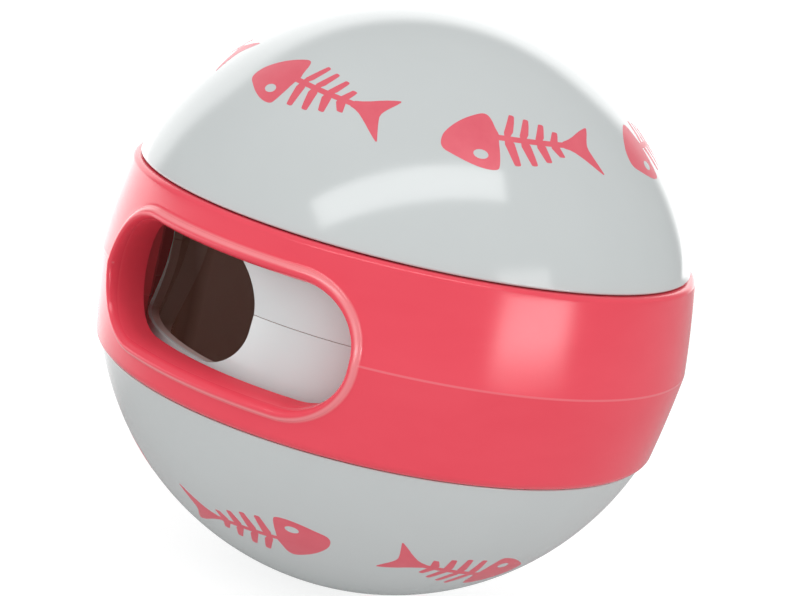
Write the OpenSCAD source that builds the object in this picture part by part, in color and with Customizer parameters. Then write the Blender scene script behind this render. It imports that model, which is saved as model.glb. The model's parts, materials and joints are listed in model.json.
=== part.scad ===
// Treat dispensing ball for cats: two snapped half shells with a turning ring.
// The shells leave a groove round the ball's waist. A treat hole lies in the
// groove's floor, and the ring's window uncovers more or less of it.
// Origin at the ball's centre, +Z along its axis, the window facing -Y.

/* [Ball] */
// Outer diameter of the two shells
ball_d = 60; // [56:1:66]
// Wall of the domes
shell_wall = 1.8; // [1.4:0.1:2.2]
// Rounding of the dome's rim beside the ring
rim_round = 0.35; // [0.2:0.05:0.5]
// Number of ribs behind each rim
rim_ribs = 12; // [8:1:16]
// Thickness of a rib behind the rim
rim_rib_t = 1; // [0.8:0.1:1.4]

/* [Neck] */
// Distance between the rims of the two domes
groove_h = 19.4; // [17.4:0.2:21]
// Depth of the groove at the seam, from the ball's surface to the neck
groove_d = 6; // [5.8:0.1:6.4]
// Growth of the neck's radius from the seam to the rim
neck_draft = 0.5; // [0.3:0.1:0.6]
// Wall of the neck
neck_wall = 2.4; // [2.3:0.1:2.8]
// Gap between the faces of the two necks
seam_gap = 0.1; // [0.06:0.02:0.2]

/* [Treat hole] */
// Length of the hole, across its middle
hole_l = 26.4; // [24:0.2:29]
// Height of the hole over both shells
hole_h = 12.4; // [11:0.2:13.2]
// Corner rounding of the hole's lower half
hole_low_round = 4.5; // [3.5:0.1:5]
// Turn of the hole from the middle of the window, in degrees
hole_turn = -30; // [-60:1:60]
// Wall left round the hole, where the neck is thinned from inside
hole_wall = 0.8; // [0.7:0.1:1]
// How far the thinned wall runs round the hole
relief_w = 2; // [1.6:0.1:2.4]

/* [Snap joint] */
// Height of the tongue on the lower neck
tongue_h = 4; // [3.4:0.1:4.4]
// Thickness of the tongue
tongue_t = 1.05; // [0.95:0.05:1.1]
// Clearance between the tongue and the lip round it
fit_gap = 0.25; // [0.2:0.01:0.28]
// How far the snap bead stands proud of the tongue
snap_proud = 0.15; // [0.1:0.01:0.18]
// Height of the snap bead and of its groove
snap_h = 0.8; // [0.6:0.1:1]
// Width of the two keys that line up the hole's halves
key_w = 1.2; // [1:0.1:1.6]
// Distance from the end of the thinned wall to the middle of a key
key_off = 2; // [1.8:0.1:2.6]

/* [Opening ring] */
// How far the ring's crest, round its middle, stands proud of the ball
ring_proud = 0.3; // [0.2:0.02:0.5]
// How far the ring's face stands proud of the domes at their rims
edge_proud = 0.52; // [0.4:0.02:0.6]
// Skin of the ring
ring_skin = 1.8; // [1.5:0.1:2]
// Thickness of the flanges that ride on the neck
flange_t = 1.4; // [1.2:0.1:1.6]
// Gap between the flanges and the neck
ride_gap = 0.3; // [0.25:0.01:0.4]
// Gap under the ring where it lies on the lower rim
rest_gap = 0.1; // [0.06:0.02:0.16]
// Gap over the ring, under the upper rim
top_gap = 0.2; // [0.16:0.02:0.3]
// Rounding of the ring's outer edges
ring_round = 1.1; // [0.8:0.1:1.2]
// Number of ribs on the inside, between the flanges
ring_ribs = 9; // [5:1:11]
// Thickness of an inside rib
ring_rib_t = 1.2; // [1:0.1:1.6]

/* [Window] */
// Length of the window, across its middle
window_l = 29.4; // [27:0.1:31]
// Height of the window
window_h = 11.5; // [10.5:0.1:12.4]
// Wall of the collar that lines the window
collar_wall = 1.2; // [1:0.1:1.4]
// Gap between the collar and the neck behind it
collar_gap = 2.2; // [1.2:0.1:2.6]
// Width of the raised rim round the window
rim_bead_w = 1.95; // [1.5:0.05:2.2]
// Height of the raised rim over the ring's face
rim_bead_h = 0.65; // [0.4:0.05:0.9]

/* [Hidden] */
$fn = 180;

pale_grey = "#C9CECD";
coral = "#EC5B66";

// Overrun of a cut past the face it opens
over = shell_wall;
// How much larger a rounding's circle is drawn than the rounding
fullness = 1.02;

ball_r = ball_d / 2;
inner_r = ball_r - shell_wall;
rim_z = groove_h / 2;
seam_z = seam_gap / 2;

// Neck and snap joint
neck_r = ball_r - groove_d;
bore_r = neck_r - neck_wall;
tongue_r = bore_r + tongue_t;
lip_r = tongue_r + fit_gap;
lip_depth = tongue_h + fit_gap;
snap_z = tongue_h / 2;
lead_in = tongue_t / 3;
rib_drop = rim_rib_t / 2;
key_turn = asin((hole_l / 2 + relief_w) / bore_r) + key_off / bore_r * 180 / PI;
slot_w = key_w + 2 * fit_gap;

// Ring
ring_r = ball_r + ring_proud;
ring_low = rest_gap - rim_z;
ring_top = rim_z - top_gap;
ride_r = neck_r + neck_draft + ride_gap;
collar_r = neck_r + collar_gap;
// Depth under the face where the collar and the ribs end, inside the skin
bite_depth = ring_skin * 3 / 4;
// Depth of the raised rim's root and of its rounding's end under the face
root_depth = ring_skin * 2 / 5;
nose_sink = ring_skin / 10;
// Turn from one inside rib to the next: the window takes the place of three
rib_step = 360 / (ring_ribs + 3);

// The ring's face is two cones that meet in the crest and lean in to the rims
edge_r = sqrt(ball_r * ball_r - rim_z * rim_z) + edge_proud;
face_slope = (ring_r - edge_r) / rim_z;
face_tilt = atan(face_slope);

// Radius of the neck's outside at a height
function neck_at(z) = neck_r + neck_draft * z / rim_z;

// Radius of the ring's face at a height
function face_at(z) = ring_r - face_slope * abs(z);

// A slot's outline: straight sides and rounded corners
module slot(length, height, corner) {
    flat_l = length - 2 * corner;
    flat_h = height - 2 * corner;
    square([flat_l, height], center = true);
    if (flat_h > 0) square([length, flat_h], center = true);
    for (sx = [-1, 1]) {
        for (sz = [-1, 1]) translate([sx * flat_l / 2, sz * flat_h / 2]) circle(r = corner);
    }
}

// Stands an outline up and runs it from the axis out through the front
module through_front(reach) {
    rotate([90, 0, 0]) linear_extrude(height = reach) children();
}

// Rounds one corner of a section: centre and size of the rounding, then the
// points where it starts and ends and the corner that goes. The circle is drawn
// a little full and cut flush, so that it crosses the sides at clear points.
module rounded(centre, size, start, end, corner) {
    difference() {
        children();
        polygon([start, corner, end, centre]);
    }
    intersection() {
        children();
        translate(centre) circle(r = size * fullness);
    }
}

// Section of a dome, with its rim rounded where it meets the ring
module dome_section() {
    round_z = rim_z + rim_round;
    round_r = sqrt(pow(ball_r - rim_round, 2) - round_z * round_z);
    out = (ball_r + rim_round) / (ball_r - rim_round);
    rounded(
        [round_r, round_z], rim_round,
        [round_r, rim_z - rim_round], [round_r * out, round_z * out],
        [round_r * out, rim_z - rim_round]
    ) {
        difference() {
            translate([0, rim_z]) square([ball_r, ball_r - rim_z]);
            circle(r = inner_r);
            difference() {
                square([2 * ball_r, 2 * ball_r]);
                circle(r = ball_r);
            }
        }
    }
}

// Section of a neck, which runs from the seam up into the dome's wall
module neck_section() {
    intersection() {
        polygon([
            [bore_r, seam_z],
            [neck_at(seam_z), seam_z],
            [neck_at(ball_r), ball_r],
            [bore_r, ball_r]
        ]);
        circle(r = inner_r + shell_wall / 2);
    }
}

// Ribs that tie the dome's rim to the neck, set back from the ring
module rim_rib_set() {
    intersection() {
        rotate_extrude() intersection() {
            translate([neck_r - neck_wall / 2, rim_z + rib_drop]) square([ball_r, ball_r / 3]);
            circle(r = inner_r + shell_wall / 2);
        }
        for (k = [0 : rim_ribs - 1]) rotate([0, 0, (k + 1 / 2) * 360 / rim_ribs])
            translate([bore_r, -rim_rib_t / 2, 0]) cube([ball_r, rim_rib_t, ball_r]);
    }
}

// One half of the ball over the seam: dome, neck and ribs
module half_shell() {
    rotate_extrude() {
        dome_section();
        neck_section();
    }
    rim_rib_set();
}

// Half of the treat hole, cut through the neck at the hole's own turn
module treat_hole(corner) {
    rotate([0, 0, hole_turn]) through_front(ride_r + over) slot(hole_l, hole_h, corner);
}

// Relief inside the neck, which thins the wall round the hole
module hole_relief() {
    relief_h = hole_h + 2 * relief_w;
    intersection() {
        rotate([0, 0, hole_turn]) through_front(ride_r)
            slot(hole_l + 2 * relief_w, relief_h, relief_h / 2);
        cylinder(r = neck_r - hole_wall, h = ball_r, center = true);
    }
}

// Bars at the two places of the keys beside the hole, right through the tongue
module key_bars(width, low, high) {
    for (side = [-1, 1]) rotate([0, 0, hole_turn + side * key_turn])
        translate([-width / 2, -lip_r - tongue_t / 2, low])
            cube([width, lip_r - bore_r + 2 * tongue_t, high - low]);
}

// Lower half: its neck carries the tongue, which the keys of the upper half
// enter beside the hole
module lower_shell() {
    color(pale_grey) difference() {
        union() {
            mirror([0, 0, 1]) half_shell();
            rotate_extrude() {
                translate([bore_r, -2 * seam_z]) polygon([
                    [0, 0],
                    [tongue_t, 0],
                    [tongue_t, tongue_h - lead_in + 2 * seam_z],
                    [tongue_t - lead_in, tongue_h + 2 * seam_z],
                    [0, tongue_h + 2 * seam_z]
                ]);
                polygon([
                    [tongue_r - lead_in, snap_z - snap_h / 2],
                    [tongue_r, snap_z - snap_h / 2],
                    [tongue_r + snap_proud, snap_z],
                    [tongue_r, snap_z + snap_h / 2],
                    [tongue_r - lead_in, snap_z + snap_h / 2]
                ]);
            }
        }
        treat_hole(hole_low_round);
        hole_relief();
        key_bars(slot_w, -seam_z, tongue_h + over);
    }
}

// Upper half: the lip round its bore takes the tongue, with a groove for the
// snap bead and two keys
module upper_shell() {
    color(pale_grey) difference() {
        union() {
            difference() {
                half_shell();
                rotate_extrude() {
                    translate([bore_r - over, seam_z - over])
                        square([lip_r - bore_r + over, lip_depth + over]);
                    polygon([
                        [lip_r - lead_in, snap_z - snap_h],
                        [lip_r, snap_z - snap_h],
                        [lip_r + snap_proud, snap_z - snap_h / 2],
                        [lip_r + snap_proud, snap_z + snap_h / 2],
                        [lip_r, snap_z + snap_h],
                        [lip_r - lead_in, snap_z + snap_h]
                    ]);
                }
            }
            intersection() {
                key_bars(key_w, seam_z, lip_depth + tongue_t);
                rotate_extrude() translate([bore_r, 0]) square([neck_wall / 2 + fit_gap, ball_r]);
            }
        }
        treat_hole(hole_h / 2);
        hole_relief();
    }
}

// Region inside the ring's face, brought in by an inset
module face_region(inset) {
    step = inset / cos(face_tilt);
    polygon([
        [bore_r, -rim_z],
        [edge_r - step, -rim_z],
        [ring_r - step, 0],
        [edge_r - step, rim_z],
        [bore_r, rim_z]
    ]);
}

// Rounds the edge of the ring's face that lies over (1) or under (-1) a height
module rounded_edge(z, side) {
    centre = [face_at(z) - ring_round / cos(face_tilt), z];
    far = 2 * ring_round;
    aim = [far * cos(face_tilt), side * far * sin(face_tilt)];
    rounded(
        centre, ring_round, centre + [0, side * far], centre + aim,
        centre + [aim[0], side * far]
    ) children();
}

// Outer body of the ring in section, its two edges rounded
module ring_outline() {
    rounded_edge(ring_top - ring_round, 1) rounded_edge(ring_low + ring_round, -1)
        intersection() {
            face_region(0);
            translate([bore_r, ring_low]) square([ring_r, ring_top - ring_low]);
        }
}

// The ring's C-shaped section: skin and two flanges
module ring_section() {
    difference() {
        ring_outline();
        intersection() {
            face_region(ring_skin);
            translate([0, ring_low + flange_t]) square([ring_r, ring_top - ring_low - 2 * flange_t]);
        }
        translate([0, -ball_r]) square([ride_r, ball_d]);
    }
}

// The space inside the ring's face and outside a radius
module ring_space(inside_r) {
    rotate_extrude() difference() {
        face_region(bite_depth);
        translate([0, -ball_r]) square([inside_r, ball_d]);
    }
}

// Raised rim round the window: a bull-nosed section swept on the ring's face.
// A stop of the sweep is the centre and the angle of an outline point.
run_steps = 10;
turn_steps = 20;
nose_steps = 6;
window_flat = (window_l - window_h) / 2;
stops = concat(
    [for (k = [0 : run_steps - 1]) [window_flat * (2 * k / run_steps - 1), 90]],
    [for (k = [0 : turn_steps - 1]) [window_flat, 90 - 180 * k / turn_steps]],
    [for (k = [0 : run_steps - 1]) [window_flat * (1 - 2 * k / run_steps), -90]],
    [for (k = [0 : turn_steps - 1]) [-window_flat, -90 - 180 * k / turn_steps]]
);
// The section's points: distance out from the window's edge, height over the face
nose = concat(
    [[-collar_wall / 4, -root_depth]],
    [for (k = [0 : nose_steps]) [
        rim_bead_w / 2 * (1 - cos(180 * k / nose_steps)),
        (rim_bead_h + nose_sink) * sin(180 * k / nose_steps) - nose_sink
    ]],
    [[rim_bead_w, -root_depth]]
);
function on_face(x, z, h) = [x, -sqrt(pow(face_at(z) + h, 2) - x * x), z];
function rim_point(stop, p) = on_face(
    stop[0] + (window_h / 2 + p[0]) * cos(stop[1]),
    (window_h / 2 + p[0]) * sin(stop[1]),
    p[1]
);

module window_rim() {
    n = len(stops);
    m = len(nose);
    polyhedron(
        points = [for (s = stops) for (p = nose) rim_point(s, p)],
        faces = [for (i = [0 : n - 1]) for (j = [0 : m - 1]) for (half = [0, 1])
            let (a = i * m, b = (i + 1) % n * m, k = (j + 1) % m)
                half == 0 ? [a + j, b + k, b + j] : [a + j, a + k, b + k]]
    );
}

// Turning ring: skin, riding flanges, ribs, and a collared window with a rim
module opening_ring() {
    collar_l = window_l + 2 * collar_wall;
    collar_h = window_h + 2 * collar_wall;
    color(coral) difference() {
        union() {
            rotate_extrude() ring_section();
            window_rim();
            intersection() {
                ring_space(collar_r);
                through_front(ring_r) slot(collar_l, collar_h, collar_h / 2);
            }
            intersection() {
                ring_space(ride_r);
                for (k = [1 : ring_ribs]) rotate([0, 0, (k + 1) * rib_step])
                    translate([-ring_rib_t / 2, -ring_r, ring_low + flange_t / 2])
                        cube([ring_rib_t, ring_r, ring_top - ring_low - flange_t]);
            }
        }
        through_front(ring_r + over) slot(window_l, window_h, window_h / 2);
    }
}

lower_shell();
upper_shell();
opening_ring();
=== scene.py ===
import json
import math

import bmesh
import bpy
import numpy as np
from mathutils import Matrix, Vector, geometry

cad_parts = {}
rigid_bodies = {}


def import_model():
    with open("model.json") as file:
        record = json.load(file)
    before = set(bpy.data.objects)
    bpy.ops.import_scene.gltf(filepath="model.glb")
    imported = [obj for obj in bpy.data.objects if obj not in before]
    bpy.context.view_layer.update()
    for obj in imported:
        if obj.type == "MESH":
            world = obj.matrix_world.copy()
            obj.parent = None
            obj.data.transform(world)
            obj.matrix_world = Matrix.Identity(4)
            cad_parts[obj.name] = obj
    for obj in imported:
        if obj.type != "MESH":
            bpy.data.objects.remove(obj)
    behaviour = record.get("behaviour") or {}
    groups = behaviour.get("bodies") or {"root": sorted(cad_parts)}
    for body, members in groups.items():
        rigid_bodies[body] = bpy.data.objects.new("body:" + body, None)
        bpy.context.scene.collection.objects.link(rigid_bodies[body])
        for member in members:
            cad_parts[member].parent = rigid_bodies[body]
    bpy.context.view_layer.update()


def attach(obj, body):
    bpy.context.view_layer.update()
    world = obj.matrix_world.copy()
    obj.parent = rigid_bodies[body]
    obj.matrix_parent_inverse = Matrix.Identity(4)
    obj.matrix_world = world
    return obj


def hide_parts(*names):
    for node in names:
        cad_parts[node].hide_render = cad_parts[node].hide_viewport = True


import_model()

# Lower shell: the bottom half of the ball, injection moulded in pale grey ABS. Its dome
# carries a neck that rises to the seam at the waist, with half of the treat hole in it
# and a tongue with a snap bead that plugs into the upper half.
mm = 0.001
ball_r = 30 * mm
inner_r = 28.2 * mm
rim_z = 9.7 * mm
rim_round_up = 0.2 * mm
rim_round_low = 0.1 * mm
neck_r = 24 * mm
neck_draft = 0.5 * mm
bore_r = 21.6 * mm
seam_z = 0.03 * mm
tongue_r = 22.65 * mm
tongue_h = 4 * mm
lead_in = 0.35 * mm
snap_z = 2 * mm
snap_h = 0.8 * mm
snap_proud = 0.15 * mm
rim_ribs = 12
rim_rib_t = 1 * mm
key_turn = 50.03
slot_w = 1.7 * mm
slot_past = 2 * mm
slot_from = bore_r - 1 * mm
slot_to = tongue_r + 0.8 * mm
hole_l = 26.4 * mm
hole_h = 12.4 * mm
hole_low_round = 4.5 * mm
hole_turn = -30
hole_from = 5 * mm
hole_to = 26.6 * mm
thin_r = 23.2 * mm
relief_w = 2 * mm
relief_to = 26 * mm
turn_steps = 360


def arc(centre, radius, start, end, steps):
    """Points (r, z) of a section along an arc, its angles in degrees."""
    angles = np.radians(np.linspace(start, end, steps + 1))
    return [(centre[0] + radius * math.cos(a), centre[1] + radius * math.sin(a)) for a in angles]


def line(start, end, steps):
    """Points (r, z) of a section along a straight line."""
    return [tuple(np.array(start) + (np.array(end) - start) * k / steps) for k in range(steps + 1)]


def half_section(joint, rim_round):
    """Section of one half of the ball, from its outer pole to its inner one; joint is the
    stretch of it between the neck's outside and the bore."""
    round_z = rim_z + rim_round
    round_r = math.sqrt((ball_r - rim_round) ** 2 - round_z ** 2)
    rim_turn = math.degrees(math.atan2(round_z, round_r))
    slope = neck_draft / rim_z
    pocket_z = (math.sqrt(inner_r ** 2 * (1 + slope ** 2) - neck_r ** 2) - neck_r * slope) / (1 + slope ** 2)
    pocket = (neck_r + slope * pocket_z, pocket_z)
    bore_end = (bore_r, math.sqrt(inner_r ** 2 - bore_r ** 2))
    low_turn = math.degrees(math.asin(rim_z / inner_r))
    pocket_turn = math.degrees(math.atan2(pocket[1], pocket[0]))
    bore_turn = math.degrees(math.atan2(bore_end[1], bore_end[0]))
    return (
        arc((0, 0), ball_r, 90, rim_turn, 66)
        + arc((round_r, round_z), rim_round, rim_turn, -90, 10)[1:]
        + arc((0, 0), inner_r, low_turn, pocket_turn, 8)
        + line(pocket, (neck_r + slope * seam_z, seam_z), 14)[1:]
        + joint
        + line((bore_r, joint[-1][1]), bore_end, 14)[1:]
        + arc((0, 0), inner_r, bore_turn, 90, 40)[1:]
    )


def add(tree, kind, inputs=None, **settings):
    """Adds a node, sets its properties, and links or sets its inputs by name or number. A
    Mix node of numbers takes its two as 2 and 3, and one of colours as 6 and 7."""
    node = tree.nodes.new(kind)
    for name, value in settings.items():
        setattr(node, name, value)
    for key, value in (inputs or {}).items():
        socket = node.inputs[key]
        if isinstance(value, bpy.types.NodeSocket):
            tree.links.new(value, socket)
        else:
            socket.default_value = value
    return node


def new_tree(name, sockets):
    """A Geometry Nodes tree with geometry in and out and the named inputs given."""
    tree = bpy.data.node_groups.new(name, "GeometryNodeTree")
    tree.interface.new_socket("Geometry", in_out="OUTPUT", socket_type="NodeSocketGeometry")
    tree.interface.new_socket("Geometry", in_out="INPUT", socket_type="NodeSocketGeometry")
    for label, kind in sockets.items():
        tree.interface.new_socket(label, in_out="INPUT", socket_type="NodeSocket" + kind)
    return tree, tree.nodes.new("NodeGroupInput").outputs


def end_tree(tree, result, material):
    """Ends a tree in real geometry with its material."""
    real = add(tree, "GeometryNodeRealizeInstances", {"Geometry": result})
    painted = add(tree, "GeometryNodeSetMaterial", {"Geometry": real.outputs[0], "Material": material})
    add(tree, "NodeGroupOutput", {"Geometry": painted.outputs[0]})


def run_tree(name, mesh, tree, values):
    """Runs a tree on a mesh with the values given and returns the plain mesh it makes."""
    holder = bpy.data.objects.new(name + "_maker", mesh)
    bpy.context.scene.collection.objects.link(holder)
    modifier = holder.modifiers.new("Nodes", "NODES")
    modifier.node_group = tree
    for item in tree.interface.items_tree:
        if item.name in values:
            modifier[item.identifier] = values[item.name]
    made = bpy.data.meshes.new_from_object(holder.evaluated_get(bpy.context.evaluated_depsgraph_get()))
    made.name = name
    bpy.data.objects.remove(holder)
    return made


# A turned body: each column of a grid takes the section's points and is turned on by
# one step round the axis, as a lathe would turn them.
turned_tree, given = new_tree("turned_section", {"Steps": "Int", "Material": "Material"})
size = add(turned_tree, "GeometryNodeAttributeDomainSize", {"Geometry": given["Geometry"]})
point_count = size.outputs["Point Count"]
columns = add(turned_tree, "ShaderNodeMath", {0: given["Steps"], 1: 1.0}, operation="ADD")
grid = add(turned_tree, "GeometryNodeMeshGrid", {"Vertices X": columns.outputs[0], "Vertices Y": point_count})
index = add(turned_tree, "GeometryNodeInputIndex")
row = add(turned_tree, "ShaderNodeMath", {0: index.outputs[0], 1: point_count}, operation="FLOORED_MODULO")
part_column = add(turned_tree, "ShaderNodeMath", {0: index.outputs[0], 1: point_count}, operation="DIVIDE")
column = add(turned_tree, "ShaderNodeMath", {0: part_column.outputs[0]}, operation="FLOOR")
share = add(turned_tree, "ShaderNodeMath", {0: column.outputs[0], 1: given["Steps"]}, operation="DIVIDE")
turn = add(turned_tree, "ShaderNodeMath", {0: share.outputs[0], 1: 2 * math.pi}, operation="MULTIPLY")
position = add(turned_tree, "GeometryNodeInputPosition")
sample = add(
    turned_tree, "GeometryNodeSampleIndex",
    {"Geometry": given["Geometry"], "Value": position.outputs[0], "Index": row.outputs[0]},
    data_type="FLOAT_VECTOR",
)
turned = add(
    turned_tree, "ShaderNodeVectorRotate",
    {"Vector": sample.outputs["Value"], "Angle": turn.outputs[0]}, rotation_type="Z_AXIS",
)
placed = add(
    turned_tree, "GeometryNodeSetPosition",
    {"Geometry": grid.outputs["Mesh"], "Position": turned.outputs[0]},
)
closed = add(
    turned_tree, "GeometryNodeMergeByDistance",
    {"Geometry": placed.outputs[0], "Distance": 0.001 * mm},
)
end_tree(turned_tree, closed.outputs[0], given["Material"])


# The same thing set several times round the ball's axis, evenly or with a small error of
# place and of tilt.
round_tree, given = new_tree("round_the_axis", {
    "Count": "Int", "Start": "Float", "Pitch": "Float", "Error": "Float", "Tilt": "Float",
    "Centre": "Vector", "Error Seed": "Int", "Tilt Seed": "Int", "Material": "Material",
})
spots = add(round_tree, "GeometryNodePoints", {"Count": given["Count"]})
index = add(round_tree, "GeometryNodeInputIndex")
error_low = add(round_tree, "ShaderNodeMath", {0: given["Error"], 1: -1.0}, operation="MULTIPLY")
tilt_low = add(round_tree, "ShaderNodeMath", {0: given["Tilt"], 1: -1.0}, operation="MULTIPLY")
error = add(round_tree, "FunctionNodeRandomValue", {"Seed": given["Error Seed"]}, data_type="FLOAT")
tilt = add(round_tree, "FunctionNodeRandomValue", {"Seed": given["Tilt Seed"]}, data_type="FLOAT")
for node, low, high in ((error, error_low, given["Error"]), (tilt, tilt_low, given["Tilt"])):
    sockets = [s for s in node.inputs if s.enabled]
    round_tree.links.new(low.outputs[0], sockets[0])
    round_tree.links.new(high, sockets[1])
error_out = [s for s in error.outputs if s.enabled][0]
tilt_out = [s for s in tilt.outputs if s.enabled][0]
stepped = add(
    round_tree, "ShaderNodeMath",
    {0: index.outputs[0], 1: given["Pitch"], 2: given["Start"]}, operation="MULTIPLY_ADD",
)
angle = add(round_tree, "ShaderNodeMath", {0: stepped.outputs[0], 1: error_out}, operation="ADD")
angle_rad = add(round_tree, "ShaderNodeMath", {0: angle.outputs[0]}, operation="RADIANS")
tilt_rad = add(round_tree, "ShaderNodeMath", {0: tilt_out}, operation="RADIANS")
tilted = add(
    round_tree, "FunctionNodeAxisAngleToRotation",
    {"Axis": given["Centre"], "Angle": tilt_rad.outputs[0]},
)
about_axis = add(
    round_tree, "FunctionNodeAxisAngleToRotation",
    {"Axis": (0, 0, 1), "Angle": angle_rad.outputs[0]},
)
both_turns = add(
    round_tree, "FunctionNodeRotateRotation",
    {"Rotation": tilted.outputs[0], "Rotate By": about_axis.outputs[0]}, rotation_space="GLOBAL",
)
copies = add(
    round_tree, "GeometryNodeInstanceOnPoints",
    {"Points": spots.outputs[0], "Instance": given["Geometry"], "Rotation": both_turns.outputs[0]},
)
end_tree(round_tree, copies.outputs["Instances"], given["Material"])


def section_mesh(points):
    """A mesh of loose points for the section of a turned body."""
    mesh = bpy.data.meshes.new("section")
    mesh.from_pydata([(r, 0, z) for r, z in points], [], [])
    return mesh


def prism(points, near, far, turn):
    """A closed prism: an outline (x, z) run along -Y from near to far, then turned about Z."""
    n = len(points)
    spin = Matrix.Rotation(math.radians(turn), 3, "Z")
    corners = [spin @ Vector((x, -y, z)) for y in (near, far) for x, z in points]
    sides = [(i, (i + 1) % n, n + (i + 1) % n, n + i) for i in range(n)]
    mesh = bpy.data.meshes.new("prism")
    mesh.from_pydata(corners, [], sides + [tuple(range(n))[::-1], tuple(range(n, 2 * n))])
    outward(mesh)
    return mesh


def outward(mesh):
    """Merges doubles and turns all faces outward."""
    work = bmesh.new()
    work.from_mesh(mesh)
    bmesh.ops.remove_doubles(work, verts=work.verts, dist=0.0002 * mm)
    bmesh.ops.recalc_face_normals(work, faces=work.faces)
    work.to_mesh(mesh)
    work.free()


def cut(mesh, tools, operation="DIFFERENCE"):
    """Cuts a mesh with the tools given, or joins them to it, and returns the result."""
    scene = bpy.context.scene.collection.objects
    body = bpy.data.objects.new("body", mesh)
    scene.link(body)
    helpers = []
    for tool in tools:
        helper = bpy.data.objects.new("tool", tool)
        scene.link(helper)
        helpers.append(helper)
        modifier = body.modifiers.new("Cut", "BOOLEAN")
        modifier.object = helper
        modifier.operation = operation
        modifier.solver = "MANIFOLD"
    result = bpy.data.meshes.new_from_object(body.evaluated_get(bpy.context.evaluated_depsgraph_get()))
    for helper in helpers + [body]:
        bpy.data.objects.remove(helper)
    return result


def slot_outline(length, height, corner, steps=40):
    """A slot's outline with rounded corners, as points (x, z), middle at the origin."""
    points = []
    for sx, sz, start in ((1, 1, 0), (-1, 1, 90), (-1, -1, 180), (1, -1, 270)):
        centre = (sx * (length / 2 - corner), sz * (height / 2 - corner))
        points += arc(centre, corner, start, start + 90, steps)
    return points


def box_outline(width, low, high):
    """A box's outline, as points (x, z)."""
    return [(-width / 2, low), (width / 2, low), (width / 2, high), (-width / 2, high)]


def linear(code):
    """A colour's sRGB hex code as linear values."""
    parts = [int(code[i : i + 2], 16) / 255 for i in (1, 3, 5)]
    return tuple(c / 12.92 if c <= 0.04045 else ((c + 0.055) / 1.055) ** 2.4 for c in parts) + (1.0,)


def new_material(name):
    """A material with its tree and its one Principled shader."""
    material = bpy.data.materials.new(name)
    material.use_nodes = True
    tree = material.node_tree
    tree.nodes.clear()
    shader = tree.nodes.new("ShaderNodeBsdfPrincipled")
    add(tree, "ShaderNodeOutputMaterial", {"Surface": shader.outputs[0]})
    return material, tree, shader


# ABS, moulded in a polished tool: an even pale grey with a sharp gloss. The skin has a
# faint cloudy tone from the melt's flow and a very shallow waviness that softens what it
# mirrors. The neck is painted paler, a painted light against the shade of its recess, and
# the inside warmer, a painted shade, with a weak painted brown glow for the light that
# comes through the wall; both are matched to the look through the window.
grey_abs, tree, shader = new_material("pale_grey_abs_moulded")
shader.inputs["IOR"].default_value = 1.54
place = add(tree, "ShaderNodeTexCoord").outputs["Object"]
cloud = add(
    tree, "ShaderNodeTexNoise",
    {"Vector": place, "Scale": 1 / (14 * mm), "Detail": 3.0, "Roughness": 0.5},
)
tone = add(
    tree, "ShaderNodeMix",
    {"Factor": cloud.outputs["Fac"], 6: linear("#CCD1D1"), 7: linear("#D3D8D8")}, data_type="RGBA",
)
distance = add(tree, "ShaderNodeVectorMath", {0: place}, operation="LENGTH")
inside = add(
    tree, "ShaderNodeMapRange",
    {"Value": distance.outputs["Value"], "From Min": inner_r + 1 * mm, "From Max": inner_r + 0.2 * mm},
)
flat_place = add(tree, "ShaderNodeVectorMath", {0: place, 1: (1.0, 1.0, 0.0)}, operation="MULTIPLY")
from_axis = add(tree, "ShaderNodeVectorMath", {0: flat_place.outputs[0]}, operation="LENGTH")
in_bore = add(
    tree, "ShaderNodeMapRange",
    {"Value": from_axis.outputs["Value"], "From Min": neck_r - 0.01 * mm, "From Max": neck_r - 0.07 * mm},
)
# Painted light: the neck takes a paler tone, against the shade of the recess behind the window.
neck_painted_light = add(
    tree, "ShaderNodeMix",
    {"Factor": inside.outputs[0], 6: tone.outputs[2], 7: linear("#E5F4F4")}, data_type="RGBA",
)
# Painted shade: the bore and the inside take a warmer tone, for the brownish shade seen in them.
painted_inside = add(tree, "ShaderNodeMath", {0: inside.outputs[0], 1: in_bore.outputs[0]}, operation="MULTIPLY")
# The wall at the hole's left end is set darker, for the shade seen there through the window.
reach = add(tree, "ShaderNodeSeparateXYZ", {0: place})
far_left = add(
    tree, "ShaderNodeMapRange",
    {"Value": reach.outputs["X"], "From Min": -15 * mm, "From Max": -18 * mm},
)
in_front = add(
    tree, "ShaderNodeMapRange",
    {"Value": reach.outputs["Y"], "From Min": -4 * mm, "From Max": -7 * mm},
)
far_end = add(tree, "ShaderNodeMath", {0: far_left.outputs[0], 1: in_front.outputs[0]}, operation="MULTIPLY")
painted_inside_tone = add(
    tree, "ShaderNodeMix",
    {"Factor": far_end.outputs[0], 6: linear("#DBD3CE"), 7: linear("#9C8E87")}, data_type="RGBA",
)
colour = add(
    tree, "ShaderNodeMix",
    {"Factor": painted_inside.outputs[0], 6: neck_painted_light.outputs[2], 7: painted_inside_tone.outputs[2]}, data_type="RGBA",
)
tree.links.new(colour.outputs[2], shader.inputs["Base Color"])
rub = add(tree, "ShaderNodeTexNoise", {"Vector": place, "Scale": 1 / (5 * mm), "Detail": 4.0})
gloss = add(tree, "ShaderNodeMapRange", {"Value": rub.outputs["Fac"], "To Min": 0.09, "To Max": 0.14})
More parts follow.
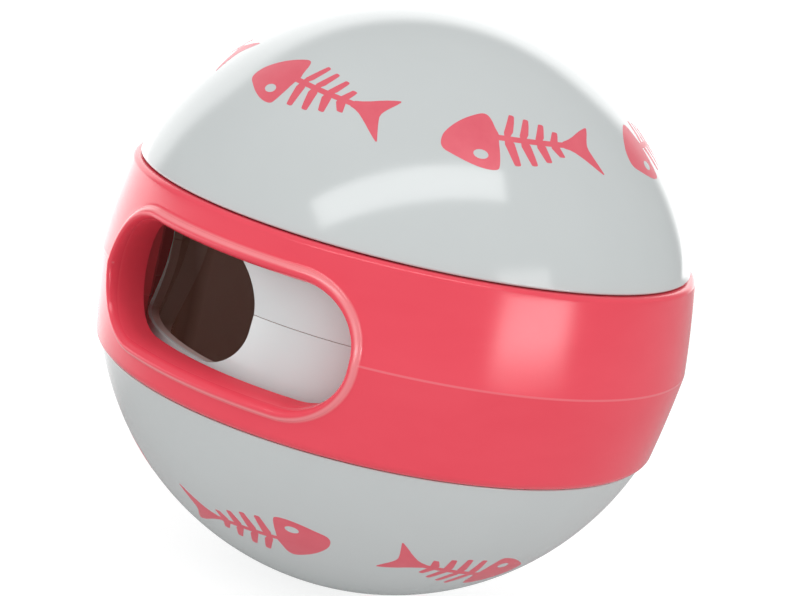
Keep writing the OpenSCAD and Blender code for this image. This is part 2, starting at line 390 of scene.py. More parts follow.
# A painted glow: the bore and the inside emit a weak brown light that stands in for light coming through the
# wall.
painted_glow = add(tree, "ShaderNodeMath", {0: painted_inside.outputs[0], 1: 0.0125}, operation="MULTIPLY")
shader.inputs["Emission Color"].default_value = linear("#E07C54")
tree.links.new(painted_glow.outputs[0], shader.inputs["Emission Strength"])
tree.links.new(gloss.outputs[0], shader.inputs["Roughness"])
wave = add(tree, "ShaderNodeTexNoise", {"Vector": place, "Scale": 1 / (3 * mm), "Detail": 2.0})
relief = add(tree, "ShaderNodeBump", {"Height": wave.outputs["Fac"], "Strength": 0.25, "Distance": 0.02 * mm})
tree.links.new(relief.outputs[0], shader.inputs["Normal"])


def finish_piece(name, mesh, body, node, material, crease=32):
    """Makes a piece of a mesh: smooth but for its edges, on its body, for its CAD node."""
    outward(mesh)
    mesh.materials.clear()
    mesh.materials.append(material)
    mesh.shade_smooth()
    mesh.set_sharp_from_angle(angle=math.radians(crease))
    piece = bpy.data.objects.new(name, mesh)
    bpy.context.scene.collection.objects.link(piece)
    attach(piece, body)
    if node:
        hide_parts(node)
    return piece


# Ribs tie each rim to the neck, one plate in the pocket between them turned round.
rib_low, rib_in, rib_out = rim_z + rim_rib_t / 2, neck_r - 1.2 * mm, inner_r + 0.9 * mm
rib_plate = [(rib_in, rib_low)] + arc(
    (0, 0), rib_out, math.degrees(math.asin(rib_low / rib_out)), math.degrees(math.acos(rib_in / rib_out)), 10
)


def half_mesh(name, joint, rim_round):
    """One half of the ball, over the seam: the turned body with its ribs."""
    body = run_tree(name, section_mesh(half_section(joint, rim_round)), turned_tree, {
        "Steps": turn_steps, "Material": grey_abs,
    })
    ribs = run_tree(name + "_ribs", prism(rib_plate, -rim_rib_t / 2, rim_rib_t / 2, 0), round_tree, {
        "Count": rim_ribs, "Start": 180 / rim_ribs, "Pitch": 360 / rim_ribs, "Error": 0.0, "Tilt": 0.0,
        "Centre": (0.0, 0.0, 1.0), "Error Seed": 0, "Tilt Seed": 0, "Material": grey_abs,
    })
    outward(body)
    outward(ribs)
    return cut(body, [ribs], "UNION")


tongue = [
    (tongue_r, seam_z), (tongue_r, -snap_z + snap_h / 2), (tongue_r + snap_proud, -snap_z),
    (tongue_r, -snap_z - snap_h / 2), (tongue_r, lead_in - tongue_h), (tongue_r - lead_in, -tongue_h),
    (bore_r, -tongue_h),
]
flip = Matrix.Diagonal((1, 1, -1, 1))
lower_mesh = half_mesh("lower", tongue, rim_round_low)
lower_mesh.transform(flip)
outward(lower_mesh)

# The hole is cut through the neck, left of the window's middle, and the wall round it is
# thinned from inside up to the radius of a drum. Two slots in the tongue take the keys.
drum_section = [(0, ball_r), (thin_r, ball_r), (thin_r, -ball_r), (0, -ball_r)]
drum = run_tree("drum", section_mesh(drum_section), turned_tree, {"Steps": turn_steps})
outward(drum)
relief_h = hole_h + 2 * relief_w
relief_outline = slot_outline(hole_l + 2 * relief_w, relief_h, relief_h / 2)
thinned = cut(prism(relief_outline, hole_from, relief_to, hole_turn), [drum], "INTERSECT")
low_outline = slot_outline(hole_l, hole_h, hole_low_round)
key_slot = box_outline(slot_w, -seam_z, tongue_h + slot_past)
lower_mesh = cut(
    lower_mesh,
    [prism(low_outline, hole_from, hole_to, hole_turn), thinned]
    + [prism(key_slot, slot_from, slot_to, hole_turn + side * key_turn) for side in (-1, 1)],
)
finish_piece("lower_shell_moulding", lower_mesh, "lower_body", "lower_shell", grey_abs)

# Opening ring: the band that turns round the ball's waist, injection moulded in coral
# polypropylene. It is a C-section that rides on the neck by its two flanges. Its window
# has a collar behind it and a rolled rim round it.
ring_r = 30.3 * mm
edge_r = 28.909 * mm
face_slope = (ring_r - edge_r) / rim_z
face_bulge = 0.1 * mm
crest_z = 0.14 * mm
ring_skin = 1.8 * mm
flange_t = 1.4 * mm
ring_low = -9.68 * mm
ring_top = 9.58 * mm
edge_start_up = 0.5 * mm
edge_start_low = 0.91 * mm
ride_r = 24.8 * mm
collar_r = 26.2 * mm
collar_wall = 1.2 * mm
window_l = 29.8 * mm
window_h = 11.5 * mm
rim_bead_w = 1.5 * mm
rim_bead_h = 0.56 * mm
rim_bead_in = 0.95 * mm
rim_bead_low = 1.9 * mm
rim_end_share = 0.62
foot_round = 0.3 * mm
ring_ribs = 9
ring_rib_t = 1.2 * mm
patch_z = 8.3 * mm
patch_turn = 38
half_rows = 9


def face_at(z, inset=0.0):
    """Radius of the ring's face at a height, or of the skin's inside with the inset. The
    face is two cones, a little full between the crest and the edges."""
    share = abs(z) / rim_z
    radius = ring_r - face_slope * abs(z) - inset * math.hypot(1, face_slope)
    if not inset:
        radius += 4 * face_bulge * share * (1 - share)
        radius -= 0.5 * face_slope * max(crest_z - abs(z), 0) ** 2 / crest_z
    return radius


def tilt_at(z):
    """The face's lean in from upright at a height, in degrees."""
    return math.degrees(math.atan(face_slope - 4 * face_bulge * (1 - 2 * abs(z) / rim_z) / rim_z))


def edge_arc(end_z, start, side):
    """The rounding from the face into the ring's top (side 1) or bottom (side -1)."""
    start_z = end_z - side * start
    tilt = math.radians(tilt_at(start_z))
    size = start / (1 - math.sin(tilt))
    centre = (face_at(start_z) - size * math.cos(tilt), start_z - side * size * math.sin(tilt))
    return arc(centre, size, side * math.degrees(tilt), side * 90, 16)


outer_z = list(np.linspace(patch_z, 0.35 * mm, half_rows))
outer_z += [crest_z, crest_z / 2, 0, -crest_z / 2, -crest_z] + [-z for z in outer_z[::-1]]
inner_top, inner_low = ring_top - flange_t, ring_low + flange_t
inner_z = list(np.linspace(inner_top, 0, len(outer_z) // 2 + 1))
inner_z += list(np.linspace(0, inner_low, len(outer_z) // 2 + 1))[1:]
top_arc = edge_arc(ring_top, edge_start_up, 1)[::-1]
low_arc = edge_arc(ring_low, edge_start_low, -1)
front = [(face_at(z), z) for z in outer_z]
over_low = (
    [(face_at(z), z) for z in (-patch_z, (low_arc[0][1] - patch_z) / 2)]
    + low_arc
    + line(low_arc[-1], (ride_r, ring_low), 4)[1:]
    + line((ride_r, ring_low), (ride_r, inner_low), 3)[1:]
    + line((ride_r, inner_low), (face_at(inner_low, ring_skin), inner_low), 4)[1:]
)
back = [(face_at(z, ring_skin), z) for z in inner_z[::-1]]
over_top = (
    line((face_at(inner_top, ring_skin), inner_top), (ride_r, inner_top), 4)
    + line((ride_r, inner_top), (ride_r, ring_top), 3)[1:]
    + line((ride_r, ring_top), top_arc[0], 4)[1:]
    + top_arc[1:]
    + [(face_at(z), z) for z in ((top_arc[-1][1] + patch_z) / 2, patch_z)]
)
points, faces = [], []


def put(new_points):
    """Adds points to the ring's mesh and gives their numbers."""
    points.extend(new_points)
    return list(range(len(points) - len(new_points), len(points)))


def strip(first, second, closed_up=False):
    """Faces between two rows of points."""
    n = len(first)
    for i in range(n if closed_up else n - 1):
        k = (i + 1) % n
        faces.append((first[i], first[k], second[k], second[i]))


def at_turn(section, turn):
    """A section's points at a turn from the middle of the window."""
    a = math.radians(turn)
    return [(r * math.sin(a), -r * math.cos(a), z) for r, z in section]


# The band away from the window is turned in columns of one degree, and over and under the
# window only its two flanged edges are.
away = [patch_turn + k for k in range(360 - 2 * patch_turn + 1)]
previous = None
for turn in away:
    numbers = put(at_turn(front + over_low[1:] + back[1:] + over_top[1:-1], turn))
    if previous:
        strip(previous, numbers, True)
    previous = numbers
for edge in (over_low, over_top):
    previous = None
    for turn in range(-patch_turn, patch_turn + 1):
        numbers = put(at_turn(edge, turn))
        if previous:
            strip(previous, numbers)
        previous = numbers

# Round the window the mesh runs in rays from the slot's middle line out to the patch's
# edge, so that the wall, the rolled rim and the foot are even rows.
flat = (window_l - window_h) / 2


def patch_edge(rows, inset):
    """The patch's edge, clockwise from its top left, as (x, z)."""
    turns = range(-patch_turn, patch_turn + 1)
    high = [(face_at(rows[0], inset) * math.sin(math.radians(a)), rows[0]) for a in turns]
    low = [(face_at(rows[-1], inset) * math.sin(math.radians(-a)), rows[-1]) for a in turns]
    side = [(face_at(z, inset) * math.sin(math.radians(patch_turn)), z) for z in rows[1:-1]]
    return high + side + low + [(-x, z) for x, z in side[::-1]]


def rays(edge):
    """For each point of the edge: where its ray starts, its direction and its length."""
    found = []
    for x, z in edge:
        start = np.array([min(max(x, -flat), flat), 0.0])
        run = np.array([x, z]) - start
        length = np.linalg.norm(run)
        found.append((start, run / length, length - window_h / 2))
    return found


def spread(way, offset):
    """An offset from the window's edge on the face, less at the slot's ends than at its sides."""
    return offset * (rim_end_share + (1 - rim_end_share) * way[1] ** 2)


def ring_row(found, offset, depth):
    """A row round the window at an offset from its edge; depth gives a point's radius."""
    row_points = []
    for start, way, length in found:
        x, z = start + way * (window_h / 2 + spread(way, offset))
        row_points.append((x, -math.sqrt(depth(z) ** 2 - x * x), z))
    return row_points


def between(found, start_offset, share_out, depth):
    """A row part of the way from an offset out to the patch's edge."""
    row_points = []
    for start, way, length in found:
        first = spread(way, start_offset)
        reach_out = first + (length - first) * share_out
        x, z = start + way * (window_h / 2 + reach_out)
        row_points.append((x, -math.sqrt(depth(z) ** 2 - x * x), z))
    return row_points


outer_rays = rays(patch_edge(outer_z, 0.0))
inner_rays = rays(patch_edge(inner_z, ring_skin))
inner_turns = np.linspace(0, math.pi / 2, 13)
outer_turns = np.linspace(0, math.acos(foot_round / rim_bead_h), 10)[1:]
nose = [
    (rim_bead_in * (1 - math.cos(a)), (rim_bead_low + rim_bead_h) * math.sin(a) - rim_bead_low)
    for a in inner_turns
]
nose += [
    (rim_bead_in + (rim_bead_w - rim_bead_in) * math.sin(a), rim_bead_h * math.cos(a))
    for a in outer_turns
]
foot_x = nose[-1][0] + foot_round
foot = [
    (foot_x - foot_round * math.cos(a), foot_round - foot_round * math.sin(a))
    for a in np.linspace(0, math.pi / 2, 6)[1:]
]
rows = [between(inner_rays, collar_wall, s, lambda z: face_at(z, ring_skin)) for s in (1, 0.75, 0.5, 0.25, 0)]
for s in (0.67, 0.33, 0):
    rows.append([
        tuple(np.array(a) * s + np.array(b) * (1 - s))
        for a, b in zip(rows[4], ring_row(inner_rays, collar_wall, lambda z: collar_r))
    ])
wall_in = ring_row(outer_rays, 0.0, lambda z: collar_r)
wall_out = ring_row(outer_rays, 0.0, lambda z: face_at(z) - rim_bead_low)
rows.append(wall_in)
for s in (0.25, 0.5, 0.75):
    rows.append([tuple(np.array(a) * (1 - s) + np.array(b) * s) for a, b in zip(wall_in, wall_out)])
for offset, height in nose + foot:
    rows.append(ring_row(outer_rays, offset, lambda z, h=height: face_at(z) + h))
for s in (0.15, 0.35, 0.6, 0.8, 1):
    rows.append(between(outer_rays, foot_x, s, lambda z: face_at(z)))
previous = None
for row_points in rows:
    numbers = put(row_points)
    if previous:
        strip(previous, numbers, True)
    previous = numbers
ring_mesh = bpy.data.meshes.new("ring")
ring_mesh.from_pydata(points, [], faces)
outward(ring_mesh)

# Nine ribs stiffen the C between its flanges, all round but for the window.
rib_heights = np.linspace(ring_low + flange_t / 2, ring_top - flange_t / 2, 9)
ring_plate = [(face_at(z, 0.75 * ring_skin), z) for z in rib_heights]
ring_plate += [(ride_r, ring_plate[-1][1]), (ride_r, ring_plate[0][1])]

# Polypropylene, moulded: coral right through, softer in its gloss than the shells, with
# the faint streaks of the melt's flow and a fine skin. A pale hair line is painted round
# the middle where the tool's halves met, a painted highlight on the crest there.
coral_pp, tree, shader = new_material("coral_polypropylene_moulded")
shader.inputs["IOR"].default_value = 1.49
place = add(tree, "ShaderNodeTexCoord").outputs["Object"]
streak_place = add(tree, "ShaderNodeMapping", {"Vector": place, "Scale": (1.0, 1.0, 2.4)})
streak = add(
    tree, "ShaderNodeTexNoise",
    {"Vector": streak_place.outputs[0], "Scale": 1 / (9 * mm), "Detail": 4.0, "Distortion": 0.6},
)
tone = add(
    tree, "ShaderNodeMix",
    {"Factor": streak.outputs["Fac"], 6: linear("#F3495B"), 7: linear("#F95364")}, data_type="RGBA",
)
height = add(tree, "ShaderNodeSeparateXYZ", {0: place})
from_middle = add(tree, "ShaderNodeMath", {0: height.outputs["Z"]}, operation="ABSOLUTE")
flat_place = add(tree, "ShaderNodeVectorMath", {0: place, 1: (1.0, 1.0, 0.0)}, operation="MULTIPLY")
from_axis = add(tree, "ShaderNodeVectorMath", {0: flat_place.outputs[0]}, operation="LENGTH")
on_crest = add(
    tree, "ShaderNodeMath",
    {0: from_axis.outputs["Value"], 1: ring_r, 2: 0.15 * mm}, operation="COMPARE",
)
near_middle = add(
    tree, "ShaderNodeMapRange",
    {"Value": from_middle.outputs[0], "From Min": crest_z, "From Max": 0.06 * mm, "To Max": 0.5},
)
# Painted highlight: a pale line along the crest where the tool's halves met.
split_line_highlight = add(
    tree, "ShaderNodeMath", {0: near_middle.outputs[0], 1: on_crest.outputs[0]}, operation="MULTIPLY"
)
colour = add(
    tree, "ShaderNodeMix",
    {"Factor": split_line_highlight.outputs[0], 6: tone.outputs[2], 7: linear("#F98D96")}, data_type="RGBA",
)

# The rolled rim's outer slope carries a painted highlight, a paler tone on its front half.
# Its place comes from the distance to the slot's outline, as the mesh's rows do.
aside = add(tree, "ShaderNodeMath", {0: height.outputs["X"]}, operation="ABSOLUTE")
past_flat = add(tree, "ShaderNodeMath", {0: aside.outputs[0], 1: flat}, operation="SUBTRACT")
run_x = add(tree, "ShaderNodeMath", {0: past_flat.outputs[0], 1: 0.0}, operation="MAXIMUM")
run = add(tree, "ShaderNodeCombineXYZ", {"X": run_x.outputs[0], "Z": height.outputs["Z"]})
run_length = add(tree, "ShaderNodeVectorMath", {0: run.outputs[0]}, operation="LENGTH")
rise = add(
    tree, "ShaderNodeMath",
    {0: height.outputs["Z"], 1: run_length.outputs["Value"]}, operation="DIVIDE",
)
rise_square = add(tree, "ShaderNodeMath", {0: rise.outputs[0], 1: rise.outputs[0]}, operation="MULTIPLY")
stretch = add(tree, "ShaderNodeMapRange", {"Value": rise_square.outputs[0], "To Min": rim_end_share})
from_edge = add(
    tree, "ShaderNodeMath", {0: run_length.outputs["Value"], 1: window_h / 2}, operation="SUBTRACT"
)
across_rim = add(tree, "ShaderNodeMath", {0: from_edge.outputs[0], 1: stretch.outputs[0]}, operation="DIVIDE")
over_crest = add(
    tree, "ShaderNodeMapRange",
    {"Value": across_rim.outputs[0], "From Min": rim_bead_in, "From Max": rim_bead_in + 0.3 * mm},
    interpolation_type="SMOOTHSTEP",
)
before_foot = add(
    tree, "ShaderNodeMapRange",
    {"Value": across_rim.outputs[0], "From Min": rim_bead_w + 0.2 * mm, "From Max": rim_bead_w - 0.1 * mm},
    interpolation_type="SMOOTHSTEP",
)
in_front = add(tree, "ShaderNodeMath", {0: height.outputs["Y"], 1: 0.0}, operation="LESS_THAN")
slope_part = add(
    tree, "ShaderNodeMath", {0: over_crest.outputs[0], 1: before_foot.outputs[0]}, operation="MULTIPLY"
)
rim_highlight_mask = add(
    tree, "ShaderNodeMath", {0: slope_part.outputs[0], 1: in_front.outputs[0]}, operation="MULTIPLY"
)
# Painted highlight on the rim's outer slope, on the front half only.
pale = add(tree, "ShaderNodeMath", {0: rim_highlight_mask.outputs[0], 1: 0.85}, operation="MULTIPLY")
rim_highlight_colour = add(
    tree, "ShaderNodeMix",
    {"Factor": pale.outputs[0], 6: colour.outputs[2], 7: linear("#FF989D")}, data_type="RGBA",
)
tree.links.new(rim_highlight_colour.outputs[2], shader.inputs["Base Color"])
rub = add(tree, "ShaderNodeTexNoise", {"Vector": place, "Scale": 1 / (4 * mm), "Detail": 4.0})
gloss = add(tree, "ShaderNodeMapRange", {"Value": rub.outputs["Fac"], "To Min": 0.16, "To Max": 0.24})

# The window's wall is set more matt than the face, as it looks in the photograph.
deep = add(
    tree, "ShaderNodeMapRange",
    {"Value": from_axis.outputs["Value"], "From Min": ring_r - 0.85 * mm, "From Max": ring_r - 1.25 * mm},
)
by_window = add(
    tree, "ShaderNodeMapRange",
    {
        "Value": from_middle.outputs[0],
        "From Min": window_h / 2 + 0.35 * mm, "From Max": window_h / 2 + 0.05 * mm,
    },
)
wall_side = add(tree, "ShaderNodeMath", {0: deep.outputs[0], 1: by_window.outputs[0]}, operation="MULTIPLY")
skin = add(tree, "ShaderNodeMix", {"Factor": wall_side.outputs[0], 2: gloss.outputs[0], 3: 0.6})
tree.links.new(skin.outputs[0], shader.inputs["Roughness"])
mirror = add(tree, "ShaderNodeMapRange", {"Value": wall_side.outputs[0], "To Min": 0.5, "To Max": 0.15})
tree.links.new(mirror.outputs[0], shader.inputs["Specular IOR Level"])

# A weak painted glow in the hollow behind the collar's ends stands in for a little light
# that comes through the skin.
past_collar = add(
    tree, "ShaderNodeMath", {0: aside.outputs[0], 1: window_l / 2 + collar_wall}, operation="GREATER_THAN"
)
in_hollow = add(
    tree, "ShaderNodeMath", {0: from_axis.outputs["Value"], 1: ring_r - ring_skin}, operation="LESS_THAN"
)
hollow_side = add(
    tree, "ShaderNodeMath", {0: past_collar.outputs[0], 1: in_hollow.outputs[0]}, operation="MULTIPLY"
)
# Painted glow: the hollow behind the collar's ends emits a weak pale light.
painted_glow = add(tree, "ShaderNodeMath", {0: hollow_side.outputs[0], 1: 0.012}, operation="MULTIPLY")
shader.inputs["Emission Color"].default_value = linear("#FFC0B4")
tree.links.new(painted_glow.outputs[0], shader.inputs["Emission Strength"])
wave = add(tree, "ShaderNodeTexNoise", {"Vector": place, "Scale": 1 / (2.6 * mm), "Detail": 0.0})
relief = add(tree, "ShaderNodeBump", {"Height": wave.outputs["Fac"], "Strength": 0.2, "Distance": 0.015 * mm})
tree.links.new(relief.outputs[0], shader.inputs["Normal"])
stiffeners = run_tree("stiffeners", prism(ring_plate, -ring_rib_t / 2, ring_rib_t / 2, -90), round_tree, {
    "Count": ring_ribs, "Start": 60.0, "Pitch": 30.0, "Error": 0.0, "Tilt": 0.0,
    "Centre": (0.0, 0.0, 1.0), "Error Seed": 0, "Tilt Seed": 0, "Material": coral_pp,
})
outward(stiffeners)
ring_mesh = cut(ring_mesh, [stiffeners], "UNION")
finish_piece("opening_ring_moulding", ring_mesh, "ring_body", "opening_ring", coral_pp)

# Upper shell: the top half of the ball, moulded like the lower one. The lip round its
# bore takes the tongue, and two keys line the halves of the treat hole up.
lip_r = 22.9 * mm
lip_top = 4.3 * mm
key_w = 1.2 * mm
key_past = 0.6 * mm
key_from = bore_r + 0.02 * mm
key_to = lip_r + 0.3 * mm
lip = [
    (lip_r, seam_z), (lip_r, snap_z - snap_h), (lip_r + snap_proud, snap_z - snap_h / 2),
    (lip_r + snap_proud, snap_z + snap_h / 2), (lip_r, snap_z + snap_h), (lip_r, lip_top), (bore_r, lip_top),
]
upper_mesh = half_mesh("upper", lip, rim_round_up)
key_bar = box_outline(key_w, seam_z, lip_top + key_past)
keys = [prism(key_bar, key_from, key_to, hole_turn + side * key_turn) for side in (-1, 1)]
upper_mesh = cut(upper_mesh, keys, "UNION")
high_outline = slot_outline(hole_l, hole_h, hole_h / 2)
upper_mesh = cut(upper_mesh, [prism(high_outline, hole_from, hole_to, hole_turn), thinned])
finish_piece("upper_shell_moulding", upper_mesh, "upper_body", "upper_shell", grey_abs)

# Printed fish on the upper shell: a plain fish skeleton in coral ink, pad printed six
# times round the dome, heads to the left, a film about a hundredth of a millimetre thick.
print_count = 6
print_pitch = 60.0
print_size = 0.97  # of the drawing below, which is in millimetres
upper_lat = 46
lower_lat = 43.7
film_over = 0.012 * mm
film_under = 0.03 * mm
mesh_step = 0.55 * mm
fish_head = [
    (-8.5, -1.6), (-8.3, -0.4), (-7.0, 1.3), (-5.2, 2.5), (-4.3, 2.75), (-3.7, 2.2), (-3.3, 1.1),
    (-2.9, 0.4), (-3.0, -0.3), (-2.9, -1.6), (-2.9, -3.1), (-3.1, -3.6), (-4.2, -3.7), (-5.6, -3.4),
    (-7.2, -2.8), (-8.2, -2.4),
]
fish_tail = [
    (4.0, 0.65), (5.4, 1.2), (6.9, 2.1), (8.1, 2.6), (8.7, 2.75), (8.3, 2.0), (7.7, 1.1),
    (7.4, 0.3), (7.7, -0.6), (8.2, -1.8), (8.6, -2.8), (7.6, -2.0), (6.4, -1.0), (5.2, -0.2),
    (4.0, 0.05),
]
fish_eye = (-4.7, -2.15)
fish_eye_size = (0.7, 0.52)
rib_roots = (-2.1, -0.4, 1.35, 3.0)
rib_tops = ((-1.4, 3.1), (0.25, 2.85), (2.0, 2.5), (3.55, 1.8))
rib_ends = ((-1.25, -2.8), (0.45, -2.5), (2.05, -1.9), (3.7, -1.1))


def soften(outline, rounds=2):
    """Cuts an outline's corners so that it runs as a curve."""
    for _ in range(rounds):
        nearly = []
        for a, b in zip(outline, outline[1:] + outline[:1]):
            a, b = np.array(a), np.array(b)
            nearly += [tuple(a * 0.75 + b * 0.25), tuple(a * 0.25 + b * 0.75)]
        outline = nearly
    return outline


def rib(root, tip):
    """A tapered rib of a fish from the spine to its blunt tip."""
    return soften([
        (root - 0.55, 0.1), (tip[0] - 0.32, tip[1] * 0.94), (tip[0] - 0.2, tip[1]),
        (tip[0] + 0.28, tip[1] * 0.98), (tip[0] + 0.36, tip[1] * 0.9), (root + 0.55, 0.4),
    ], 1)


def is_within(point, outline):
    """True if a point is inside an outline."""
    hit = False
    for (ax, ay), (bx, by) in zip(outline, outline[1:] + outline[:1]):
        if (ay > point[1]) != (by > point[1]) and point[0] < (bx - ax) * (point[1] - ay) / (by - ay) + ax:
            hit = not hit
    return hit


def fish_film(name, side, fish_lat):
    """A fish's ink film on the dome in front of the window, side 1 upper or -1 lower."""
    spine = [(-3.4, 0.4), (4.4, 0.68), (4.4, 0.06), (-3.4, -0.22)]
    solid = [soften(fish_head), soften(fish_tail, 1), spine]
    solid += [rib(root, tip) for tips in (rib_tops, rib_ends) for root, tip in zip(rib_roots, tips)]
    eye = [
        (fish_eye[0] + fish_eye_size[0] * math.cos(a), fish_eye[1] + fish_eye_size[1] * math.sin(a))
        for a in np.linspace(0, 2 * math.pi, 29)[:-1]
    ]
    flat_points, edges = [], []
    for outline in solid + [eye]:
        first = len(flat_points)
        flat_points += [Vector(p) for p in outline]
        edges += [(first + i, first + (i + 1) % len(outline)) for i in range(len(outline))]
    step = mesh_step / mm
    flat_points += [
        Vector((x + 0.011, y + 0.017)) for x in np.arange(-9, 9.5, step) for y in np.arange(-4, 4, step)
    ]
    places, _, triangles, *_ = geometry.delaunay_2d_cdt(flat_points, edges, [], 0, 1e-4)
    kept = []
    for triangle in triangles:
        middle = sum((places[i] for i in triangle), Vector((0, 0))) / 3
        if any(is_within(middle, outline) for outline in solid) and not is_within(middle, eye):
            kept.append(tuple(triangle))
    used = sorted({i for triangle in kept for i in triangle})
    number = {i: k for k, i in enumerate(used)}
    kept = [tuple(number[i] for i in triangle) for triangle in kept]
    n = len(used)
    corners = []
    for radius in (ball_r + film_over, ball_r - film_under):
        for i in used:
            lat = math.radians(fish_lat) + places[i].y * print_size * mm / ball_r
            az = places[i].x * print_size * mm / (ball_r * math.cos(math.radians(fish_lat)))
            flat_r = radius * math.cos(lat)
            x, y = flat_r * math.sin(az) * side, -flat_r * math.cos(az)
            corners.append((x, y, radius * math.sin(lat) * side))
    loose = {}
    for a, b, c in kept:
        for edge in ((a, b), (b, c), (c, a)):
            if (edge[1], edge[0]) in loose:
                del loose[(edge[1], edge[0])]
            else:
                loose[edge] = True
    walls = [(b, a, n + a, n + b) for a, b in loose]
    mesh = bpy.data.meshes.new(name)
    mesh.from_pydata(corners, [], kept + [(c + n, b + n, a + n) for a, b, c in kept] + walls)
    return mesh


# Pad printing ink: a thin opaque coral film, a little more matt than the plastic, with
# the uneven cover of a soft pad.
coral_ink, tree, shader = new_material("coral_pad_printing_ink")
shader.inputs["IOR"].default_value = 1.5
place = add(tree, "ShaderNodeTexCoord").outputs["Object"]
cover = add(
    tree, "ShaderNodeTexNoise",
    {"Vector": place, "Scale": 1 / (2.2 * mm), "Detail": 5.0, "Roughness": 0.6},
)
tone = add(
    tree, "ShaderNodeMix",
    {"Factor": cover.outputs["Fac"], 6: linear("#E4586A"), 7: linear("#EE6F7C")}, data_type="RGBA",
)
tree.links.new(tone.outputs[2], shader.inputs["Base Color"])
shader.inputs["Roughness"].default_value = 0.34
grain = add(tree, "ShaderNodeTexNoise", {"Vector": place, "Scale": 1 / (0.35 * mm), "Detail": 2.0})
relief = add(
    tree, "ShaderNodeBump", {"Height": grain.outputs["Fac"], "Strength": 0.3, "Distance": 0.008 * mm}
)
tree.links.new(relief.outputs[0], shader.inputs["Normal"])


def print_fish(name, side, body, fish_lat, start, error, error_seed, tilt, tilt_seed):
    """Prints the fish round one dome, each with a small error of place and of tilt."""
    lat = math.radians(fish_lat)
    made = run_tree(name, fish_film(name, side, fish_lat), round_tree, {
        "Count": print_count, "Start": start, "Pitch": print_pitch, "Error": error, "Tilt": tilt,
        "Centre": (0.0, -math.cos(lat), side * math.sin(lat)),
        "Error Seed": error_seed, "Tilt Seed": tilt_seed, "Material": coral_ink,
    })
    finish_piece(name, made, body, None, coral_ink)


print_fish("fish_prints_upper", 1, "upper_body", upper_lat, -0.2, 4.6, 2139, 8.0, 2354)

# Printed fish on the lower shell: the same print, with the half upside down in the
# printing fixture, so that the heads point the other way.
print_fish("fish_prints_lower", -1, "lower_body", lower_lat, 10.0, 2.5, 47, 14.0, 1630)

# Studio: a pale paper floor just under the ball and a white room, as in a catalogue
# photograph. A white card lies on the floor at the left, where only reflections see it.
floor_size = 3.0
floor_light = 0.34
floor_seen = 0.75
card_from, card_to = -40 * mm, -100 * mm
card_low, card_high = 0.14, 2.0
floor_mesh = bpy.data.meshes.new("floor")
floor_mesh.from_pydata(
    [(x * floor_size, y * floor_size, -ball_r - 0.05 * mm) for x, y in ((-1, -1), (1, -1), (1, 1), (-1, 1))],
    [], [(0, 1, 2, 3)],
)
floor = bpy.data.objects.new("studio_floor", floor_mesh)
bpy.context.scene.collection.objects.link(floor)
paper, tree, shader = new_material("white_backdrop_paper")
shader.inputs["Base Color"].default_value = linear("#A8A8A8")
shader.inputs["Roughness"].default_value = 0.9
path = add(tree, "ShaderNodeLightPath")
seen = add(
    tree, "ShaderNodeMath",
    {0: path.outputs["Is Camera Ray"], 1: path.outputs["Is Transmission Ray"]}, operation="MAXIMUM",
)
spot = add(tree, "ShaderNodeSeparateXYZ", {0: add(tree, "ShaderNodeTexCoord").outputs["Object"]})
card = add(
    tree, "ShaderNodeMapRange",
    {
        "Value": spot.outputs["X"],
        "From Min": card_from, "From Max": card_to, "To Min": card_low, "To Max": card_high,
    },
)
mirrored = add(
    tree, "ShaderNodeMix", {"Factor": path.outputs["Is Glossy Ray"], 2: floor_light, 3: card.outputs[0]}
)
strength = add(
    tree, "ShaderNodeMix", {"Factor": seen.outputs[0], 2: mirrored.outputs[0], 3: floor_seen}
)
lift = add(tree, "ShaderNodeEmission", {"Color": (1.0, 1.0, 1.0, 1.0), "Strength": strength.outputs[0]})
both = add(tree, "ShaderNodeAddShader", {0: shader.outputs[0], 1: lift.outputs[0]})
tree.links.new(both.outputs[0], tree.nodes["Material Output"].inputs["Surface"])
floor_mesh.materials.append(paper)


def direction(azimuth, elevation):
    """The way out from the ball at an azimuth from the window's middle and an elevation."""
    a, e = math.radians(azimuth), math.radians(elevation)
    return Vector((math.sin(a) * math.cos(e), -math.cos(a) * math.cos(e), math.sin(e)))


def panel(tree, way, azimuth, elevation, roll, half_width, half_height, soft, strength):
    """A soft-edged bright panel of the room, its sizes as angles seen from the ball."""
    front = direction(azimuth, elevation)
    across = Matrix.Rotation(math.radians(roll), 3, front) @ Vector((0, 0, 1)).cross(front).normalized()
    result = add(tree, "ShaderNodeValue").outputs[0]
    result.default_value = strength
    for axis, half in ((across, half_width), (front.cross(across), half_height)):
        along = add(tree, "ShaderNodeVectorMath", {0: way, 1: axis}, operation="DOT_PRODUCT")
        ahead = add(tree, "ShaderNodeVectorMath", {0: way, 1: front}, operation="DOT_PRODUCT")
        turned = add(
            tree, "ShaderNodeMath",
            {0: along.outputs["Value"], 1: ahead.outputs["Value"]}, operation="ARCTAN2",
        )
        size = add(tree, "ShaderNodeMath", {0: turned.outputs[0]}, operation="ABSOLUTE")
        part = add(
            tree, "ShaderNodeMapRange",
            {
                "Value": size.outputs[0],
                "From Min": math.radians(half + soft), "From Max": math.radians(half - soft), "To Max": 1.0,
            },
            interpolation_type="SMOOTHSTEP",
        )
        result = add(tree, "ShaderNodeMath", {0: result, 1: part.outputs[0]}, operation="MULTIPLY").outputs[0]
    return result


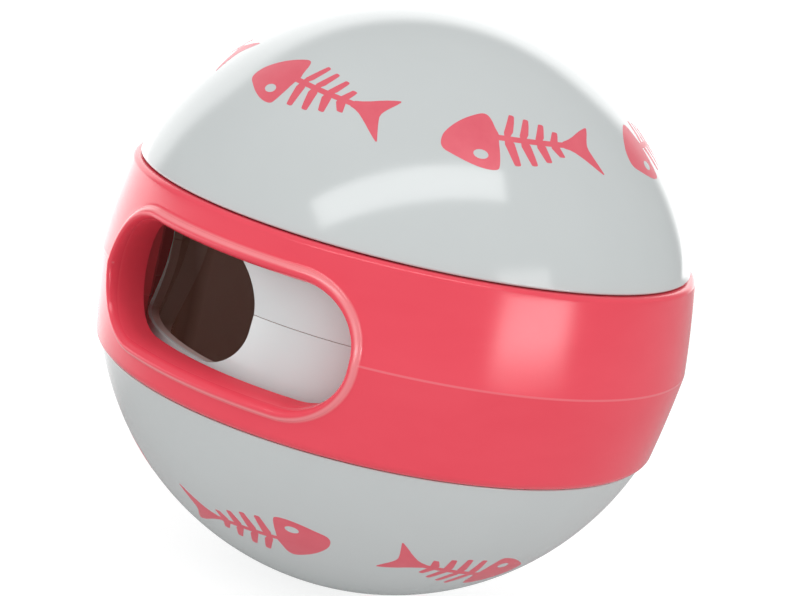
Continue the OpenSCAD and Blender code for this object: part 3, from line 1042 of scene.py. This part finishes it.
# The room is white. It lights evenly, with more from a key panel over the front right.
# What the gloss mirrors is darker, with the lamps as bright panels in it: azimuth,
# elevation, roll, half width, half height and softness in degrees, then strength.
room_light = 0.8
key_panel = (30, 40, 0, 75, 40, 25, 0.34)
mirrored_room = 0.35
mirrored_panels = (
    (27.1, 55.6, 29.3, 34, 7, 1.5, 4.4),  # soft box over the front: the dome's main highlight
    (90, 3, 0, 14.5, 4, 1.5, 9),  # strip lamp at the right: the ring's highlight
    (86, 20, 0, 11, 8, 2, 2.6),  # weaker lamp above it: the dome's second highlight
    (227, -8, 0, 40, 40, 6, 1.5),  # pale wall behind: the light edges of shells and ring
)
world = bpy.data.worlds.new("white_room")
bpy.context.scene.world = world
world.use_nodes = True
tree = world.node_tree
tree.nodes.clear()
way = add(tree, "ShaderNodeTexCoord").outputs["Generated"]
diffuse = add(tree, "ShaderNodeMath", {0: room_light, 1: panel(tree, way, *key_panel)}, operation="ADD")
glossy = mirrored_room
for numbers in mirrored_panels:
    bright = panel(tree, way, *numbers)
    glossy = add(tree, "ShaderNodeMath", {0: glossy, 1: bright}, operation="ADD").outputs[0]
path = add(tree, "ShaderNodeLightPath")
seen = add(
    tree, "ShaderNodeMath",
    {0: path.outputs["Is Camera Ray"], 1: path.outputs["Is Transmission Ray"]}, operation="MAXIMUM",
)
mirrored = add(
    tree, "ShaderNodeMix", {"Factor": path.outputs["Is Glossy Ray"], 2: diffuse.outputs[0], 3: glossy}
)
shown = add(tree, "ShaderNodeMix", {"Factor": seen.outputs[0], 2: mirrored.outputs[0], 3: 1.0})
sky = add(tree, "ShaderNodeBackground", {"Color": (1.0, 1.0, 1.0, 1.0), "Strength": shown.outputs[0]})
add(tree, "ShaderNodeOutputWorld", {"Surface": sky.outputs[0]})

# The camera looks down on the ball from the front right and is rolled, as in the
# photograph, where the ball lies tilted.
camera_turn = 35
camera_rise = 12.72
camera_roll = math.radians(13.31)
camera_distance = 254.9 * mm
camera_data = bpy.data.cameras.new("camera")
camera_data.lens = 113.18
camera_data.sensor_width = 36
camera_data.shift_x = 0.0029
camera_data.shift_y = 0.0014
camera_data.clip_start = 0.01
camera = bpy.data.objects.new("camera", camera_data)
back = direction(camera_turn, camera_rise)
across = Vector((0, 0, 1)).cross(back).normalized()
up = back.cross(across)
frame_x = across * math.cos(camera_roll) + up * math.sin(camera_roll)
frame_y = up * math.cos(camera_roll) - across * math.sin(camera_roll)
frame_turn = Matrix((frame_x, frame_y, back)).transposed().to_4x4()
camera.matrix_world = Matrix.Translation(back * camera_distance) @ frame_turn
bpy.context.scene.collection.objects.link(camera)
bpy.context.scene.camera = camera
bpy.context.scene.view_settings.view_transform = "Standard"
